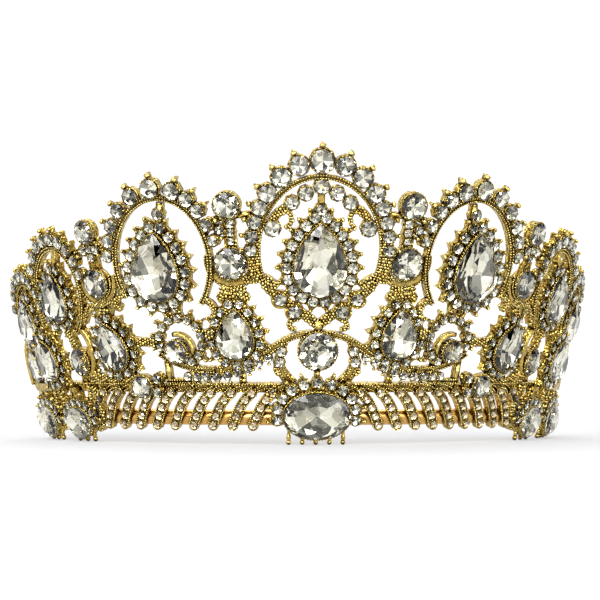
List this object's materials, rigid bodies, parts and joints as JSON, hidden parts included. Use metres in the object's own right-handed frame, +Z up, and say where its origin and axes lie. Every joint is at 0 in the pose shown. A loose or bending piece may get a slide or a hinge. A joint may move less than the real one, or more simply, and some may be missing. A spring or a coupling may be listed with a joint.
{
  "type": "bridal crown",
  "caption": "Open-backed bridal crown of pierced gold-plated castings with haloed pear, round and oval crystals, stone-set hoops and a ribbed base.",
  "frame": {"origin": "on the surface that the crown stands on, under the middle of its box, which is 52.7 mm in front of the axis of the round band", "axes": "+Z up, -Y towards the front of the crown, +X to the viewer's right when facing its front"},
  "size_m": [0.16, 0.0817, 0.0768],
  "materials": {
    "gold": "polished warm gold plating over a cast white-metal body",
    "crystal": "clear foil-backed cut crystal"
  },
  "bodies": {
    "root": {"crown_frame": "gold", "centre_pear": "crystal", "centre_round": "crystal", "base_oval": "crystal", "front_post_top_left": "crystal", "front_post_top_right": "crystal", "front_post_round_left": "crystal", "front_post_round_right": "crystal", "front_post_pear_left": "crystal", "front_post_pear_right": "crystal", "front_arch_pear_left": "crystal", "front_arch_pear_right": "crystal", "swirl_round_left": "crystal", "swirl_round_right": "crystal", "rail_round_left": "crystal", "rail_round_right": "crystal", "side_post_top_left": "crystal", "side_post_top_right": "crystal", "side_post_round_left": "crystal", "side_post_round_right": "crystal", "side_post_pear_left": "crystal", "side_post_pear_right": "crystal", "side_arch_pear_left": "crystal", "side_arch_pear_right": "crystal", "lower_round_left": "crystal", "lower_round_right": "crystal", "side_oval_left": "crystal", "side_oval_right": "crystal", "leaning_pear_left": "crystal", "leaning_pear_right": "crystal", "rear_oval_left": "crystal", "rear_oval_right": "crystal", "rear_arch_pear_left": "crystal", "rear_arch_pear_right": "crystal", "rear_leaning_pear_left": "crystal", "rear_leaning_pear_right": "crystal", "hoop_stones_centre": "crystal", "scroll_stones_centre": "crystal", "base_halo_stones": "crystal", "pear_halo_centre": "crystal", "hoop_stones_left": "crystal", "hoop_stones_right": "crystal", "pear_halo_left": "crystal", "pear_halo_right": "crystal", "side_hoop_stones_left": "crystal", "side_hoop_stones_right": "crystal", "post_stones_left": "crystal", "post_stones_right": "crystal"}
  },
  "joints": []
}
